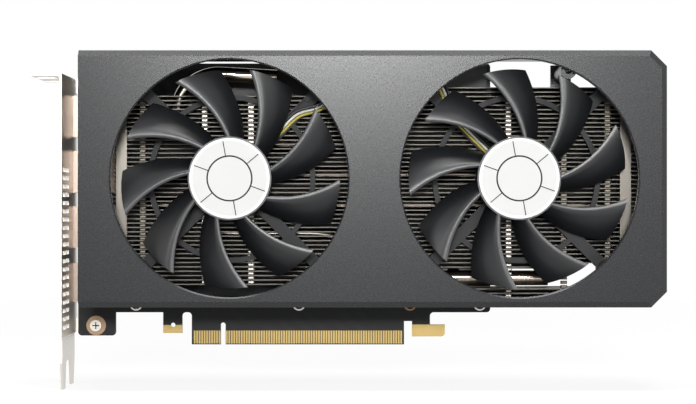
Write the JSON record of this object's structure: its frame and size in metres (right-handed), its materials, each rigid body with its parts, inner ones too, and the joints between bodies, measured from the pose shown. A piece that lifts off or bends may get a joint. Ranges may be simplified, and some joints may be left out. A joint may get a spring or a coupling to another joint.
{
  "type": "graphics card",
  "caption": "Two-slot graphics card with two axial fans in a bevelled dark shroud, a finned heat-pipe cooler, a slotted steel bracket and a gold contact edge.",
  "frame": {"origin": "middle of the key notch at the lower contact edge, on the board's front face", "axes": "+X from the bracket to the far end, +Z from the contact edge to the top, -Y the way the fans face"},
  "size_m": [0.2429, 0.0453, 0.1301],
  "materials": {
    "shroud_plastic": "satin gunmetal moulding",
    "fan_plastic": "satin",
    "frame_plastic": "satin",
    "hub_disc": "satin",
    "board": "black solder mask",
    "gold": "gold plated",
    "copper": "bare copper",
    "plated_steel": "nickel plated",
    "black_steel": "black, satin",
    "screw_steel": "nickel plated",
    "stator_steel": "stamped",
    "magnet": "bonded ferrite",
    "bronze": "sintered bronze",
    "fan_board": "solder mask",
    "aluminium": "bare sheet",
    "nickel_pipe": "nickel plated",
    "socket_plastic": "moulded",
    "power_pin": "tin plated",
    "lead_yellow": "insulation",
    "lead_white": "insulation",
    "lead_black": "insulation",
    "chip_package": "moulded",
    "silicon": "polished",
    "thermal_pad": "soft",
    "capacitor": "can",
    "ceramic": "fired",
    "film": "film"
  },
  "bodies": {
    "card": {"back_capacitors": "ceramic", "base_block": "aluminium", "bearing_left": "bronze", "bearing_right": "bronze", "bracket": "plated_steel", "bracket_screws": "screw_steel", "capacitors": "capacitor", "chokes": "chip_package", "circuit_board": "board", "clamp_insulator": "film", "clamp_plate": "plated_steel", "clamp_screws": "screw_steel", "clamp_springs": "screw_steel", "cooler_screws": "screw_steel", "cooler_tab": "black_steel", "copper_plate": "copper", "copper_rings": "copper", "display_socket_tongues": "socket_plastic", "display_sockets": "plated_steel", "drive_boards": "fan_board", "edge_contacts": "gold", "fan_frame_left": "frame_plastic", "fan_frame_right": "frame_plastic", "fan_headers": "socket_plastic", "fan_leads_black": "lead_black", "fan_leads_white": "lead_white", "fan_leads_yellow": "lead_yellow", "fan_plugs": "socket_plastic", "fan_screws": "screw_steel", "fin_stack_far": "aluminium", "fin_stack_near": "aluminium", "heat_pipe_lower": "nickel_pipe", "heat_pipe_upper": "nickel_pipe", "heat_pipes_middle": "nickel_pipe", "media_socket": "plated_steel", "media_socket_tongue": "socket_plastic", "memory_chips": "chip_package", "power_pins": "power_pin", "power_socket": "socket_plastic", "power_stage_bar": "aluminium", "power_stages": "chip_package", "processor_chip": "silicon", "processor_package": "chip_package", "shroud": "shroud_plastic", "side_rail_left": "plated_steel", "side_rail_right": "plated_steel", "stator_coils_left": "copper", "stator_coils_right": "copper", "stator_left": "stator_steel", "stator_right": "stator_steel", "tab_plating": "gold", "thermal_pads": "thermal_pad"},
    "fan_left": {"rotor_left": "fan_plastic", "hub_disc_left": "hub_disc", "shaft_left": "screw_steel", "magnet_ring_left": "magnet"},
    "fan_right": {"rotor_right": "fan_plastic", "hub_disc_right": "hub_disc", "shaft_right": "screw_steel", "magnet_ring_right": "magnet"}
  },
  "joints": [
    {"name": "fan_left_spin", "type": "hinge", "parent": "card", "child": "fan_left", "pos_m": [0.005, -0.03, 0.0662], "axis": [0, -1, 0], "continuous": true},
    {"name": "fan_right_spin", "type": "hinge", "parent": "card", "child": "fan_right", "pos_m": [0.1153, -0.03, 0.0662], "axis": [0, -1, 0], "continuous": true}
  ]
}
